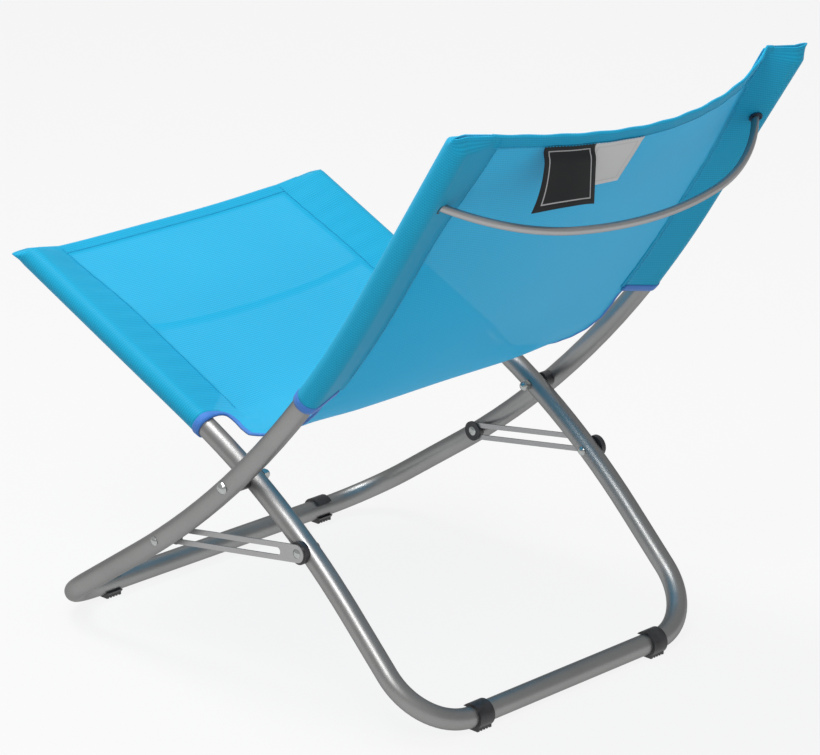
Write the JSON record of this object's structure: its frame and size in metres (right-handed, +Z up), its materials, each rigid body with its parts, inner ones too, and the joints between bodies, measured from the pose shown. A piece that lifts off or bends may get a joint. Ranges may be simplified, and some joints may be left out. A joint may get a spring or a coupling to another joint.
{
  "type": "folding beach chair",
  "caption": "Low folding beach chair: two crossing bent-tube frames on side pivots, slotted stop links, clip feet and one mesh sling for seat and back.",
  "frame": {"origin": "on the floor, at the middle of the chair's box", "axes": "+Z up, -Y the way the sitter faces, +X the sitter's left"},
  "size_m": [0.5092, 0.7001, 0.65],
  "materials": {
    "tube_paint": "satin silver grey powder coat",
    "rod_paint": "satin silver grey paint",
    "zinc": "bright zinc plate",
    "black_plastic": "moulded, slightly glossy",
    "mesh": "woven coated mesh",
    "tape": "woven binding tape",
    "label_black": "woven satin label",
    "label_white": "woven care label"
  },
  "bodies": {
    "back_body": {"back_frame": "tube_paint", "back_tube_plugs": "black_plastic", "back_spreader_rod": "rod_paint", "pivot_bolts": "zinc", "pivot_spacers": "black_plastic", "pivot_nuts": "zinc", "slot_pins": "zinc", "slot_spacers": "black_plastic", "slot_washers": "black_plastic", "front_foot_left": "black_plastic", "front_foot_right": "black_plastic", "back_panel": "mesh", "sling_bend": "mesh", "back_sleeve_left": "mesh", "back_sleeve_right": "mesh", "back_hem": "mesh", "back_bindings": "tape", "notch_bindings": "tape", "size_label": "label_black", "care_label": "label_white"},
    "seat_body": {"seat_frame": "tube_paint", "seat_tube_plugs": "black_plastic", "seat_spreader_rod": "rod_paint", "link_rivets": "zinc", "link_spacers": "black_plastic", "rear_foot_left": "black_plastic", "rear_foot_right": "black_plastic", "seat_panel": "mesh", "seat_sleeve_left": "mesh", "seat_sleeve_right": "mesh", "seat_hem": "mesh", "seat_bindings": "tape"},
    "left_link": {"link_left": "rod_paint"},
    "right_link": {"link_right": "rod_paint"}
  },
  "joints": [
    {"name": "fold", "type": "hinge", "parent": "back_body", "child": "seat_body", "pos_m": [0, 0.0003, 0.222], "axis": [-1, 0, 0], "range_deg": [0, 90]},
    {"name": "left_link_pivot", "type": "hinge", "parent": "seat_body", "child": "left_link", "pos_m": [0.2229, 0.07971, 0.16641], "axis": [1, 0, 0], "range_deg": [0, 87.72]},
    {"name": "right_link_pivot", "type": "hinge", "parent": "seat_body", "child": "right_link", "pos_m": [-0.2229, 0.07971, 0.16641], "axis": [1, 0, 0], "range_deg": [0, 87.72]}
  ],
  "couplings": [
    {"joint": "left_link_pivot", "follows": "fold", "ratio": 0.97407},
    {"joint": "right_link_pivot", "follows": "fold", "ratio": 0.97407}
  ]
}
